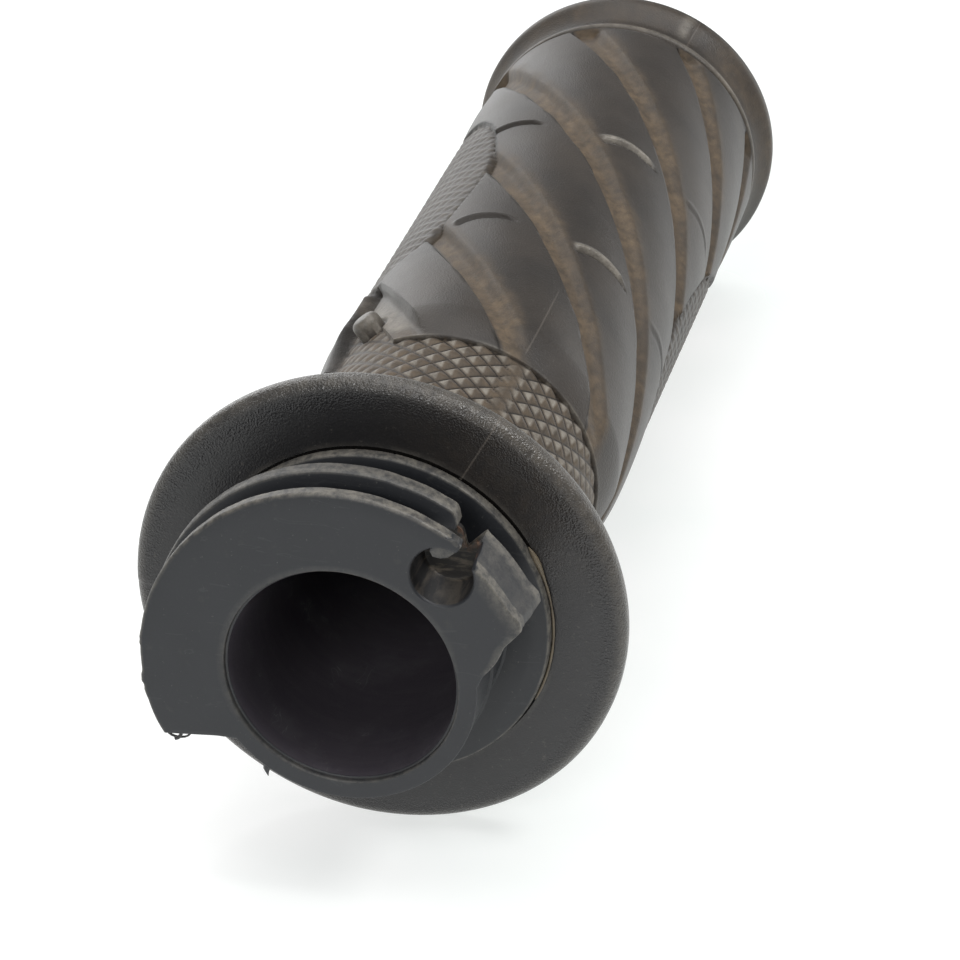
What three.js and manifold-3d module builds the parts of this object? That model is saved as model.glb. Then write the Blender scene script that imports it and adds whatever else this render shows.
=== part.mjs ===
// Right-hand throttle grip for a 22.2 mm (7/8 in) handlebar, in millimetres.
// +X runs along the bore, from the cable pulley to the outboard end, and +Z is up.
// The origin is the bore's centre in the plane of the pulley's front face.
// Angles are in degrees about +X: 0 points along +Y and 90 along +Z.
import * as THREE from "three";
import { mergeVertices } from "three/addons/utils/BufferGeometryUtils.js";
import Module from "manifold-3d";

// The whole grip
const LENGTH = 138;
const GAP = 0.3; // clearance between separate pieces
const ROUND_STEPS = 72; // facets around the bore axis
const FACET_ANGLE = 360 / ROUND_STEPS;
const EDGE_STEPS = 2; // half the number of facets on a small rounded edge

// Throttle tube
const BORE_R = 11.25; // runs on a bar of 11.1 mm radius
const TUBE_R = 13.35;
const TUBE_END_X = 134; // the tube stops short of the rubber's end ring
const MOUTH_CHAMFER = 0.5;
const DISC_X = [12, 13.2]; // the stop disc that the rubber flange lies against
const DISC_R = 17.7;
const DISC_EDGE = 0.3;

// Cable pulley on the tube's inboard end
const PLATE_X = [0, 1.5];
const PLATE_R = 19.7;
const GROOVE_X = [1.5, 4];
const GROOVE_R = 15;
const OVERLAP = 0.5; // how far the groove's floor runs into its two walls
const RIDGE_X = [4, 6];
const RIDGE_R = 20;
const RIDGE_END = 124;
const PULLEY_START = -26; // where the rim begins
const PULLEY_FOOT = -41; // where its lower edge runs into the tube
const ROOT_R = 12.3; // pulley pieces start inside the tube's wall

// Nipple seat and the cheek that carries it
const SEAT_ANGLE = 129;
const SEAT_PITCH_R = 15.87;
const SEAT_R = 3;
const SEAT_DEPTH = 5;
const SEAT_STEPS = 28;
const WEB_X = [4.3, 5.8]; // closes the seat behind, between the ridge and the cheek
const WEB_ANGLES = [121, 133];
const SLOT_WIDTH = 2.6;
const CHEEK_R = 19.15;
const CHEEK_END = 155;
const CHEEK_FOOT = [new THREE.Vector2(-15.5, 4), new THREE.Vector2(-13.25, 0.9)]; // its lower edge
const CHEEK_ROOT = 178;

// Rubber sleeve
const SLEEVE_BORE_R = TUBE_R + GAP;
const FLANGE_X = [DISC_X[1] + GAP, 16.2];
const FLANGE_R = 24.94;
const FLANGE_RIM = 1.2;
const BAND_R = 15.6; // the slimmer, knurled band next to the flange
const BAND_FILLET = 1;
const BODY_X = 41;
const BODY_R = 17.2;
const BODY_EDGE = 0.4;
const BEAD_GROOVE_X = [129.9, 130.9];
const BEAD_GROOVE_R = 16.7;
const BEAD_R = 19; // the bead flares like a trumpet up to its rounded rim
const BEAD_WAIST = [17.6, 133.2]; // radius and X of the flare's control point
const BEAD_RIM = 1.2;
const END_RING_R = 11.6; // the ring that covers the tube's end

// Cured adhesive squeezed out beside the stop disc
const ADHESIVE_X = [12.4, 13.2];
const ADHESIVE_R = [DISC_R + GAP, 18.7];
const ADHESIVE_ANGLES = [141, 214];

const plastic = new THREE.MeshStandardMaterial({ color: 0x3a4048, roughness: 0.55, metalness: 0 });
const rubber = new THREE.MeshStandardMaterial({ color: 0x24211f, roughness: 0.7, metalness: 0 });
const adhesive = new THREE.MeshStandardMaterial({ color: 0xa58a63, roughness: 0.5, metalness: 0 });

const wasm = await Module();
wasm.setup();

const rad = THREE.MathUtils.degToRad;
const polar = (r, angle) => new THREE.Vector2(r * Math.cos(rad(angle)), r * Math.sin(rad(angle)));

// Points along an arc about the bore axis, one facet apart.
function arc(r, from, to) {
  const steps = Math.max(1, Math.round(Math.abs(to - from) / FACET_ANGLE));
  return Array.from({ length: steps + 1 }, (_, i) => polar(r, from + ((to - from) * i) / steps));
}

function toSolid(geometry) {
  geometry.deleteAttribute("normal");
  geometry.deleteAttribute("uv");
  const merged = mergeVertices(geometry, 1e-4);
  return new wasm.Manifold(
    new wasm.Mesh({
      numProp: 3,
      vertProperties: merged.attributes.position.array,
      triVerts: new Uint32Array(merged.index.array),
    }),
  );
}

function toMesh(name, solid, material) {
  const { vertProperties, triVerts } = solid.getMesh();
  const geometry = new THREE.BufferGeometry();
  geometry.setAttribute("position", new THREE.BufferAttribute(vertProperties, 3));
  geometry.setIndex(new THREE.BufferAttribute(triVerts, 1));
  geometry.computeVertexNormals();
  const mesh = new THREE.Mesh(geometry, material);
  mesh.name = name;
  return mesh;
}

// Turns a closed outline of (radius, X) about the X axis.
function turned(outline) {
  const points = outline.getPoints(EDGE_STEPS);
  points.push(points[0].clone());
  const geometry = new THREE.LatheGeometry(points, ROUND_STEPS);
  geometry.rotateZ(-Math.PI / 2);
  return toSolid(geometry);
}

// Extrudes an outline of (Y, Z) points along X, between two planes.
function slab(points, [from, to]) {
  const outline = new THREE.Shape(points);
  const geometry = new THREE.ExtrudeGeometry(outline, { depth: to - from, bevelEnabled: false });
  const alongX = new THREE.Matrix4().makeBasis(
    new THREE.Vector3(0, 1, 0),
    new THREE.Vector3(0, 0, 1),
    new THREE.Vector3(1, 0, 0),
  );
  geometry.applyMatrix4(alongX).translate(from, 0, 0);
  return toSolid(geometry);
}

// A ring's sector. Its ends may lean: the rim spans one pair of angles and the root another.
function sector(rimR, rimAngles, rootR, rootAngles = rimAngles) {
  return [...arc(rimR, ...rimAngles), ...arc(rootR, rootAngles[1], rootAngles[0])];
}

// The tube with its stop disc, as one turned outline.
function tubeBody() {
  const outline = new THREE.Shape();
  outline.moveTo(BORE_R + MOUTH_CHAMFER, 0);
  outline.lineTo(TUBE_R, 0);
  outline.lineTo(TUBE_R, DISC_X[0]);
  outline.lineTo(DISC_R - DISC_EDGE, DISC_X[0]);
  outline.lineTo(DISC_R, DISC_X[0] + DISC_EDGE);
  outline.lineTo(DISC_R, DISC_X[1]);
  outline.lineTo(TUBE_R, DISC_X[1]);
  outline.lineTo(TUBE_R, TUBE_END_X);
  outline.lineTo(BORE_R, TUBE_END_X);
  outline.lineTo(BORE_R, MOUTH_CHAMFER);
  return turned(outline);
}

// Three stacked sectors: the front plate, the cable groove's floor and the rear ridge.
function pulley() {
  const layer = (r, end, span) =>
    slab(sector(r, [PULLEY_START, end], ROOT_R, [PULLEY_FOOT, end]), span);
  const floorX = [GROOVE_X[0] - OVERLAP, GROOVE_X[1] + OVERLAP];
  return layer(PLATE_R, SEAT_ANGLE, PLATE_X)
    .add(layer(GROOVE_R, SEAT_ANGLE, floorX))
    .add(layer(RIDGE_R, RIDGE_END, RIDGE_X));
}

// The block beside the slot, as deep as the whole pulley, and the web behind the seat.
function cheek() {
  const outline = [
    ...arc(CHEEK_R, SEAT_ANGLE, CHEEK_END),
    ...CHEEK_FOOT,
    ...arc(ROOT_R, CHEEK_ROOT, SEAT_ANGLE),
  ];
  const web = slab(sector(CHEEK_R, WEB_ANGLES, ROOT_R), WEB_X);
  return slab(outline, [PLATE_X[0], RIDGE_X[1]]).add(web);
}

// What the cable's end needs: a round seat, and a slot from it out to the rim.
function nippleSeat() {
  const clear = -1; // cutters start in front of the face
  const centre = polar(SEAT_PITCH_R, SEAT_ANGLE);
  const seat = Array.from({ length: SEAT_STEPS }, (_, i) =>
    polar(SEAT_R, (360 * i) / SEAT_STEPS).add(centre),
  );
  const halfWidth = polar(SLOT_WIDTH / 2, SEAT_ANGLE + 90);
  const mouth = polar(RIDGE_R + 1, SEAT_ANGLE);
  const slot = [
    centre.clone().sub(halfWidth),
    mouth.clone().sub(halfWidth),
    mouth.clone().add(halfWidth),
    centre.clone().add(halfWidth),
  ];
  return slab(seat, [clear, SEAT_DEPTH]).add(slab(slot, [clear, GROOVE_X[1]]));
}

// The one-piece sleeve: flange, knurled band, body and end bead.
function sleeve() {
  const [front, back] = FLANGE_X;
  const rimR = FLANGE_R - FLANGE_RIM;
  const beadR = BEAD_R - BEAD_RIM;
  const outline = new THREE.Shape();
  outline.moveTo(SLEEVE_BORE_R, front);
  outline.lineTo(rimR, front);
  outline.absarc(rimR, front + FLANGE_RIM, FLANGE_RIM, rad(-90), 0, false);
  outline.absarc(rimR, back - FLANGE_RIM, FLANGE_RIM, 0, rad(90), false);
  outline.absarc(BAND_R + BAND_FILLET, back + BAND_FILLET, BAND_FILLET, rad(270), rad(180), true);
  outline.lineTo(BAND_R, BODY_X);
  outline.lineTo(BODY_R - BODY_EDGE, BODY_X);
  outline.lineTo(BODY_R, BODY_X + BODY_EDGE);
  outline.lineTo(BODY_R, BEAD_GROOVE_X[0]);
  outline.lineTo(BEAD_GROOVE_R, BEAD_GROOVE_X[0]);
  outline.lineTo(BEAD_GROOVE_R, BEAD_GROOVE_X[1]);
  outline.quadraticCurveTo(...BEAD_WAIST, BEAD_R, LENGTH - BEAD_RIM);
  outline.absarc(beadR, LENGTH - BEAD_RIM, BEAD_RIM, 0, rad(90), false);
  outline.lineTo(END_RING_R, LENGTH);
  outline.lineTo(END_RING_R, TUBE_END_X + GAP);
  outline.lineTo(SLEEVE_BORE_R, TUBE_END_X + GAP);
  return turned(outline);
}

const throttleTube = tubeBody().add(pulley()).add(cheek()).subtract(nippleSeat());
const adhesiveArc = slab(sector(ADHESIVE_R[1], ADHESIVE_ANGLES, ADHESIVE_R[0]), ADHESIVE_X);

const grip = new THREE.Group();
grip.add(toMesh("throttle_tube", throttleTube, plastic));
grip.add(toMesh("grip_rubber", sleeve(), rubber));
grip.add(toMesh("adhesive_bead", adhesiveArc, adhesive));

export default grip;
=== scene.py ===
"""Looks of a used right-hand throttle grip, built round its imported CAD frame.

Lengths are in millimetres until a mesh is made. +X runs along the bore from the cable
pulley to the outboard bead. Angles are in degrees about +X: 0 is +Y and 90 is +Z.
"""
import math

import bpy
import numpy as np
from mathutils import Matrix, Vector


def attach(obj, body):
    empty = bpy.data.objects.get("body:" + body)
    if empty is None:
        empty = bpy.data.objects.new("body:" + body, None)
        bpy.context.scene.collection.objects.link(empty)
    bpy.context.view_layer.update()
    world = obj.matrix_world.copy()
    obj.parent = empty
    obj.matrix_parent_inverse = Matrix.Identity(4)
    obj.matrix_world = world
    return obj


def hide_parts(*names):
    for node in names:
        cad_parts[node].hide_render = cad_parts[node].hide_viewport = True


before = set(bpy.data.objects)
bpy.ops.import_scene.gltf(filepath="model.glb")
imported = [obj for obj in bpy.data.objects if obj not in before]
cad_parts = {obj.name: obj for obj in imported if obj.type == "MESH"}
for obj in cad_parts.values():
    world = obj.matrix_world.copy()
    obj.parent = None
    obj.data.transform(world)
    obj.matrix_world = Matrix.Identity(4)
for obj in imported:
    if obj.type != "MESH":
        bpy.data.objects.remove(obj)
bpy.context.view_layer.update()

MM = 0.001
COLUMNS = 360  # one mesh column for each degree round the bore

# Throttle tube
BORE_R = 11.25
TUBE_R = 13.35
TUBE_END_X = 134.0
PLATE_R = 19.7
RIDGE_R = 20.0
GROOVE_R = 15.0
LOWER_EDGE = 7.35  # how far the pulley's lower edge is below the bore's axis
DISC_R = 17.7
CHEEK_START, CHEEK_LEDGE = 131.3, 159  # where its rim begins, and where it is torn
RIDGE_END = 124
PULLEY_START, PULLEY_FOOT = -26, -40  # where the rim and its lower edge begin
WEB_R = 18.3  # the web behind the seat
SEAT_ANGLE, SEAT_PITCH_R, SEAT_R, SEAT_DEPTH = 129.0, 15.87, 3.0, 5.0

# Rubber sleeve
SLEEVE_BORE_R = 13.5
FLANGE_X, FLANGE_BACK_X, FLANGE_R, FLANGE_RIM = 13.35, 16.2, 24.94, 1.3
BAND_R = 15.85  # crests of the knurled band
LAYER_X = 42.7  # where the swirled layer begins
LAYER_EDGE_R = 16.0  # it is thin along its inboard edge
LAYER_R = 17.25
BEAD_ROOT_X = 129.9
BEAD_RIB_X = 131.3
BEAD_R, BEAD_RIM = 19.0, 1.2
LENGTH = 138.0
END_RING_R = 11.6  # the ring that covers the tube's end
LEFT = 30.0  # angle of the sleeve's left side in the photograph, where it is worn most

# The glue line between the stop disc and the flange
ADHESIVE_X, ADHESIVE_ANGLES = 13.05, (149, 206)

# Swirl channels: straight helices, the same angle apart all the way round
CHANNEL_PITCH = 45.0
CHANNEL_SLOPE = 2.0  # degrees of turn for each millimetre along the bore
CHANNEL_PHASE = 115.1  # angle of one channel at LAYER_X
SPAN = math.radians(1) * LAYER_R * math.cos(math.atan(math.radians(CHANNEL_SLOPE) * LAYER_R))

PARTING = 119.0  # the mould's parting line, and the other one opposite

# Diamond knurl
KNURL_PITCH = 2.58
KNURL_ROW = 5.0
KNURL_DEPTH = 0.45
KNURL_X = 41.0  # a place along the bore where a diamond sits on the parting line

# Crescent steps: where each cut starts along the bore
CRESCENTS = (69.2, 96.9)

# Oval knurled patches, opposite each other
PATCH_X, PATCH_ANGLE = 86.0, 32.0
PATCH_HALF_LENGTH, PATCH_HALF_TURN = 24.0, 37.5  # in mm and in degrees
PATCH_ROW, PATCH_PITCH = 4.6, 2.08

# Two opposite channels have a widened mouth, with a wall along the bore and a round stud
MOUTH_WALL, MOUTH_END_X = 39.5, 64.0  # the wall's angle, and where it ends
STUD_X, STUD_ANGLE, STUD_R, STUD_TOP_R, STUD_DOME = 49.2, 51.6, 1.6, 17.7, 0.8


# ---------------------------------------------------------------- small helpers

def ramp(x, low, high):
    """0 below low, 1 above high, and an S-curve between."""
    t = np.clip((np.asarray(x, float) - low) / (high - low), 0.0, 1.0)
    return t * t * (3 - 2 * t)


def hump(x, centre, half):
    """1 at the centre, falling smoothly to 0 at half's distance."""
    return 1 - ramp(np.abs(np.asarray(x, float) - centre), 0.0, half)


def mix(a, b, t):
    return a + (b - a) * t


def strongest(*layers):
    """The highest of several masks at each point."""
    return np.max(np.stack(np.broadcast_arrays(*layers)), 0)


def from_nearer(angle, place):
    """Degrees from a place round the bore or from the one opposite it, whichever is nearer."""
    return (angle - place + 90) % 180 - 90


def wobble(x, angle, size, seed):
    """Smooth noise from -1 to 1 over (X, angle), with lumps of about size millimetres."""
    rows = max(4, round(2 * math.pi * LAYER_R / size))
    rng = np.random.default_rng(seed)
    table = rng.uniform(-1, 1, (256, rows))
    a = (np.asarray(x, float) / size + 64) % 255
    b = (np.asarray(angle, float) % 360) / 360 * rows
    i, j = a.astype(int), b.astype(int) % rows
    s, t = ramp(a - i, 0, 1), ramp(b - np.floor(b), 0, 1)
    k = (j + 1) % rows
    return mix(mix(table[i, j], table[i + 1, j], s), mix(table[i, k], table[i + 1, k], s), t)


def layered_noise(x, angle, size, seed):
    total = wobble(x, angle, size, seed)
    total = total + 0.5 * wobble(x, angle, size / 2, seed + 1)
    return (total + 0.25 * wobble(x, angle, size / 4, seed + 2)) / 1.75


def steps(start, stop, step):
    """Evenly spaced numbers from start up to but not including stop."""
    count = max(1, round(abs(stop - start) / step))
    return [start + (stop - start) * i / count for i in range(count)]


def straight(p, q, step):
    """Points (X, radius) along a line, without its last one."""
    count = max(1, round(math.dist(p, q) / step))
    return [(mix(p[0], q[0], i / count), mix(p[1], q[1], i / count)) for i in range(count)]


def bend(centre, r, start, stop, count):
    """Points (X, radius) along a small arc; 0 degrees points along +X."""
    turns = [math.radians(mix(start, stop, i / count)) for i in range(count)]
    return [(centre[0] + r * math.cos(t), centre[1] + r * math.sin(t)) for t in turns]


def torus_mesh(name, x, radius, angle, **attributes):
    """A closed skin from a grid of (X, radius, angle), which closes on itself both ways.
    Each quad is split along the diagonal that follows its crease."""
    rows, columns = radius.shape
    turn = np.radians(angle)
    points = np.stack([x, radius * np.cos(turn), radius * np.sin(turn)], -1).reshape(-1, 3)
    i, j = np.meshgrid(np.arange(rows), np.arange(columns), indexing="ij")
    i2, j2 = (i + 1) % rows, (j + 1) % columns
    a, b, c, d = (p * columns + q for p, q in ((i, j), (i2, j), (i2, j2), (i, j2)))
    flat = radius.reshape(-1)
    along = np.abs(flat[a] - flat[c]) <= np.abs(flat[b] - flat[d])
    first = np.where(along[..., None], np.stack([a, b, c], -1), np.stack([a, b, d], -1))
    second = np.where(along[..., None], np.stack([a, c, d], -1), np.stack([b, c, d], -1))
    faces = np.concatenate([first.reshape(-1, 3), second.reshape(-1, 3)])
    return mesh_object(name, points * MM, faces, **attributes)


def mesh_object(name, points, faces, **attributes):
    """A closed mesh, its faces turned outward."""
    corner = [points[faces[:, k]] for k in range(3)]
    if np.sum(corner[0] * np.cross(corner[1], corner[2])) < 0:
        faces = faces[:, ::-1]
    mesh = bpy.data.meshes.new(name)
    mesh.vertices.add(len(points))
    mesh.vertices.foreach_set("co", np.asarray(points, np.float32).ravel())
    count, corners = faces.shape
    mesh.loops.add(count * corners)
    mesh.loops.foreach_set("vertex_index", np.asarray(faces, np.int32).ravel())
    mesh.polygons.add(count)
    mesh.polygons.foreach_set("loop_start", np.arange(0, count * corners, corners, dtype=np.int32))
    mesh.update(calc_edges=True)
    for key, values in attributes.items():
        layer = mesh.attributes.new(key, "FLOAT", "POINT")
        layer.data.foreach_set("value", np.asarray(values, np.float32).ravel())
    mesh.validate()
    obj = bpy.data.objects.new(name, mesh)
    bpy.context.scene.collection.objects.link(obj)
    return obj


def smooth(obj, sharp_over):
    """Smooth shading, with the edges over an angle in degrees kept sharp."""
    mesh = obj.data
    mesh.polygons.foreach_set("use_smooth", np.ones(len(mesh.polygons), bool))
    mesh.set_sharp_from_angle(angle=math.radians(sharp_over))


# ---------------------------------------------------------------- the rubber's relief

def knurl(x, angle, row=KNURL_ROW, pitch=KNURL_PITCH):
    """Diamond pyramids from 0 in their valleys to 1 at their tops, mirrored at each parting line."""
    from_line = np.abs(from_nearer(angle, PARTING))
    a = (x - KNURL_X) / pitch
    b = from_line / (2 * row)
    c, d = a + b, a - b
    return 1 - 2 * np.maximum(np.abs(c - np.round(c)), np.abs(d - np.round(d)))


def swirl(x, angle):
    """Which channel a point is nearest, and how far round from its centre line it is."""
    u = angle - CHANNEL_PHASE + CHANNEL_SLOPE * (x - LAYER_X)
    index = np.round(u / CHANNEL_PITCH)
    return index.astype(int) % 8, u - CHANNEL_PITCH * index


def patch_distance(x, angle):
    """Below 1 inside the two oval knurled patches, above 1 outside."""
    along = np.abs((x - PATCH_X) / PATCH_HALF_LENGTH)
    across = np.abs(from_nearer(angle, PATCH_ANGLE) / PATCH_HALF_TURN)
    power = mix(2.3, 1.8, ramp(x, 80, 92))
    return (along ** power + across ** power) ** (1 / power)


def trough(q, depth, wall, slope):
    """A cut with a steep wall at q = 0 and a soft slope back up."""
    down = ramp(q, -wall / 2, wall / 2)
    up = ramp(q, 0.35, 0.35 + slope)
    return depth * down * (1 - up)


def from_wall(x, angle):
    """Millimetres round from the layer's wall beside the stud, negative under the layer."""
    turn = LEFT + from_nearer(angle, LEFT)
    return (turn - MOUTH_WALL) * SPAN + 0.25 * wobble(x, angle, 4, 33)


def layer_edge(x, angle):
    """Distance in from the layer's edge in mm, how far up its end slope a point is, and whether
    the nearest edge is the mouth's wall and not the inboard one, which is square to the bore."""
    turn = LEFT + from_nearer(angle, LEFT)
    mouth_centre = CHANNEL_PHASE - CHANNEL_PITCH - CHANNEL_SLOPE * (x - LAYER_X)
    square = x - LAYER_X
    from_side = -from_wall(x, angle)
    left_of_mouth = (turn < mouth_centre - 2) | ((turn < MOUTH_WALL + 2) & (x < MOUTH_END_X - 0.5))
    by_wall = left_of_mouth & (from_side < square)
    distance = np.where(by_wall, from_side, square)
    climb = np.clip(distance / np.where(by_wall, 0.9, 5.0), 0, 1)
    return distance, 1 - (1 - climb) ** 1.4, by_wall


class Outside:
    """Where each point of the sleeve's outside lies: distances in mm, and masks from 0 to 1."""

    def __init__(self, x, angle):
        self.x, self.angle = x, angle
        self.rough = layered_noise(x, angle, 6, 11)
        self.ragged = layered_noise(x, angle, 4, 71)
        self.fine = layered_noise(x, angle, 1.5, 75)
        self.from_line = from_nearer(angle, PARTING)

        # the band's knurl is worn softer on the left and bare beside the parting line
        self.diamonds = knurl(x, angle)
        self.soft = 0.35 * (1 - ramp(np.abs(from_nearer(angle, LEFT)), 25, 65))
        self.bare = 0.75 * (1 - ramp(np.abs(self.from_line), 1.5, 4.5))
        self.knurled = ramp(x, 17.4, 18.4) * (1 - ramp(x, 49, 52.5))

        # the smooth layer, and how far round a point is from its channel's centre line, in
        # degrees (turn) and in mm across the channel (w); channels 3 and 7 have the wide mouths
        self.edge, self.climb, self.by_wall = layer_edge(x, angle)
        self.layer = ramp(self.edge, -0.06, 0.08)
        channel, self.turn = swirl(x, angle)
        self.w = self.turn * SPAN + 0.12 * wobble(x, angle, 5, 31)
        self.mouth = (channel % 4 == 3) * (1 - ramp(x, MOUTH_END_X - 2.5, MOUTH_END_X))

        self.patch = patch_distance(x, angle)
        self.in_patch = 1 - ramp(self.patch, 0.965, 1.0)
        self.ribs = np.minimum(knurl(x, angle, PATCH_ROW, PATCH_PITCH), 0.8) / 0.8
        self.on_bead = x > BEAD_ROOT_X
        self.smooth_part = self.layer * (1 - self.in_patch) * (1 - self.on_bead)
        self.from_stud = np.hypot(x - STUD_X, from_stud(angle))
        self.by_stud = hump(self.from_stud, STUD_R + 0.2, 0.6)


def band_radius(o):
    """The slim band behind the flange, with its diamond knurl."""
    tops = np.minimum(o.diamonds, 0.86 - o.soft + 0.1 * layered_noise(o.x, o.angle, 3, 5))
    depth = KNURL_DEPTH * (1 - o.soft) * (1 - o.bare)
    band = BAND_R - depth * (0.86 - tops) * o.knurled - 0.15 * (1 - o.knurled)
    return band + 0.15 * ramp(o.x, 44, 52)


def panel_radius(o):
    """The smooth layer, fuller towards the bead and thin at its edges, with its channels."""
    full = LAYER_R + 0.3 * ramp(o.x, 60, 122) + 0.05 * o.rough
    full = full + 0.13 * np.cos(np.radians(o.turn * 360 / CHANNEL_PITCH) + math.pi)
    lip = 0.4 * hump(o.edge, 0.9, 1.0) * (1 - ramp(o.x, MOUTH_END_X - 3, MOUTH_END_X))
    full = full + o.by_wall * (lip * ramp(o.x, 45, 55) - 0.5 * (1 - ramp(o.x, 42, 54)))
    start = np.where(o.by_wall, BAND_R - 0.1, LAYER_EDGE_R)
    panel = mix(start + 0.03 * o.rough, full, o.climb)

    # a channel has its steep side inboard
    wall = ramp(from_wall(o.x, o.angle), -0.1, 0.1)
    down = mix(ramp(o.w, -1.42, -1.14), wall, o.mouth)
    slope_start, slope_end = mix(0.35, 2.3, o.mouth), mix(1.9, 3.3, o.mouth)
    channel = down * (1 - ramp(o.w, slope_start, slope_end))
    floor_r = mix(full - 0.85 + 0.04 * o.fine, BAND_R + 0.2, o.mouth)
    return panel - np.maximum(panel - floor_r, 0) * channel


def crescents(o):
    """Steps across the panels, a cut and outboard of it a welt: their relief in mm, a mask of the
    painted highlight on the welts on the lit side, and a mask of the painted shade in the cuts."""
    across = (o.turn % CHANNEL_PITCH) - CHANNEL_PITCH / 2
    reach = 1 - ramp(np.abs(across + 1.5), 9.5, 13)
    # the side nearer the parting line is the lit side: its cuts are deeper and its welts get a painted
    # highlight
    lit_side = ramp(o.from_line, -26, -17) * (1 - ramp(o.from_line, 22, 32))
    depth = (0.22 + 0.28 * lit_side) * (1 - 0.85 * ramp(o.from_line, 23, 33))
    welt = 0.26 * (1 - 0.7 * ramp(o.from_line, 25, 35))
    relief, lit, cut = (np.zeros_like(o.x) for _ in range(3))
    for step_x in CRESCENTS:
        q = o.x - step_x - 1.2 * (1 - lit_side) + 0.8 * (across / 12) ** 2
        relief = relief + reach * (welt * hump(q, 1.05, 0.75) - depth * trough(q, 1, 0.3, 0.6))
        # painted highlight on each welt, on the lit side only
        lit = lit + reach * lit_side * ramp(q, 0.4, 0.7) * (1 - ramp(q, 1.15, 1.6))
        # painted shade: a dark line at each cut's foot, and across the step away from the lit side
        cut = cut + reach * (1.9 * depth) * hump(q, 0.12, 0.5)
        cut = cut + reach * 0.3 * (1 - lit_side) * hump(q, 0.6, 0.8)
    return relief, lit, cut


def patch_radius(o):
    """The oval patches, with diamonds finer than the band's and a sunken rim."""
    patch = LAYER_R + 0.25 * ramp(o.x, 60, 122) - 0.08 - 0.2 * (1 - o.ribs)
    return patch - 0.3 * ramp(o.patch, 0.93, 0.99)


def bead_radius(o):
    """The flared bead, with a thin rib at its root and a notch at each parting line."""
    flare = ramp(o.x, 131.9, 139.5) * 2 * (BEAD_R - 17.3)
    bead = np.minimum(LAYER_R + flare, BEAD_R) + 0.34 * hump(o.x, BEAD_RIB_X, 0.95)
    notch = hump(o.from_line * math.radians(1) * LAYER_R, 0.0, 0.7) * ramp(o.x, 132, 133.5)
    return bead - 0.2 * notch


def sleeve_relief(x, angle):
    """Radius of the rubber from the flange's root to the bead, and from 0 to 1 its dirt (brown),
    its wear and painted highlights (pale) and its painted shade (near black, in corners and creases)."""
    o = Outside(x, angle)
    relief, lit, cut = crescents(o)
    body = mix(panel_radius(o) + relief, patch_radius(o), o.in_patch)
    bead = np.where(o.on_bead, bead_radius(o), LAYER_R + 0.32)
    body = mix(body, bead, ramp(x, 129.2, BEAD_ROOT_X - 0.05))
    body = body - trough(x - BEAD_ROOT_X, 0.7, 0.2, 0.6)
    band = band_radius(o)
    radius = mix(band, np.maximum(body, band), o.layer) - 0.25 * o.by_stud
    return radius, sleeve_dirt(o), sleeve_wear(o, lit), sleeve_soot(o, cut)


def sleeve_dirt(o):
    """Brown dirt lies in the channels and spreads raggedly over their soft side."""
    spread = 1.9 + 0.7 * o.ragged + 0.3 * o.fine
    stain = ramp(o.w, -1.25, -0.75) * (1 - ramp(o.w, spread - 1.6, spread + 1.3))
    stain = stain * (1 - 0.5 * o.mouth) * (0.95 + 0.25 * o.ragged)
    groove = 1 - ramp(o.diamonds, 0.03, 0.2)
    on_band = (1 - o.layer) * ramp(o.x, 17, 20)
    return strongest(
        o.smooth_part * np.clip(stain, 0, 1),
        on_band * 0.75 * (1 - groove * (1 - o.bare)),
        o.in_patch * o.ribs * 0.3,
        o.on_bead * np.clip(0.2 + 0.4 * o.ragged, 0, 0.5),
    )


def sleeve_wear(o, lit):
    """Pale marks, from 0 to 1: wear on the patches' ribs, and painted highlights on the crescents'
    welts, along the layer's inboard edge, on the knurl's facets on the lit side, on the bead's rib,
    beside its notches and on the mouths' soft slopes.
    """
    facing = knurl(o.x, o.angle + 0.5) - knurl(o.x, o.angle - 0.5)
    facet = ramp(facing, 0.04, 0.14) * ramp(o.diamonds, 0.12, 0.3) * o.knurled
    in_mouth = o.mouth * ramp(o.x, 44, 46) * (1 - ramp(o.x, 56, 62))
    # all of these are painted highlights but the patches' ribs, which are worn
    return strongest(
        0.95 * lit * o.smooth_part * (0.8 + 0.4 * o.fine),
        0.7 * hump(o.edge, 0.12, 0.3) * (1 - o.by_wall) * np.clip(0.3 + o.ragged, 0, 1),
        facet * (1 - o.layer) * (1 - o.bare) * (1 - 1.4 * o.soft),
        hump(o.x, BEAD_RIB_X, 0.8) * (0.55 + 0.4 * o.ragged),
        0.5 * hump(o.from_line, -4, 4) * ramp(o.x, 132, 134),
        o.in_patch * ramp(o.ribs, 0.3, 0.9) * 0.12,
        0.75 * in_mouth * hump(o.w, 0.8, 2.4),
    )


def sleeve_soot(o, cut):
    """Painted shade, near black, in the corners: along edges and grooves, in the cuts and round the
    stud.
    """
    groove = (1 - ramp(o.diamonds, 0.03, 0.2)) * (1 - o.bare) * (1 - o.soft)
    wall = ramp(o.edge, -0.4, 0.1) * (1 - ramp(o.edge, 0.7, 1.3))
    soot = strongest(
        o.smooth_part * (0.75 * hump(o.w, -1.3, 0.3) + cut),
        0.9 * hump(o.edge, -0.12, 0.25) * (1 - o.by_wall),
        0.8 * groove * (1 - o.layer) * ramp(o.x, 17, 20),
        0.8 * hump(o.patch, 0.995, 0.025),
        0.8 * hump(o.x, BEAD_ROOT_X + 0.25, 0.6) + 0.4 * hump(o.x, 132.6, 0.5),
        o.by_wall * wall * np.clip(0.55 + 0.5 * o.ragged + 0.3 * o.fine, 0, 0.85),
        0.7 * o.by_stud * (o.from_stud > STUD_R),
    )
    return np.clip(soot, 0, 1)


def from_stud(angle):
    """Distance round the bore from the nearer stud, in mm."""
    return from_nearer(angle, STUD_ANGLE) * math.radians(1) * LAYER_R


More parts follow.
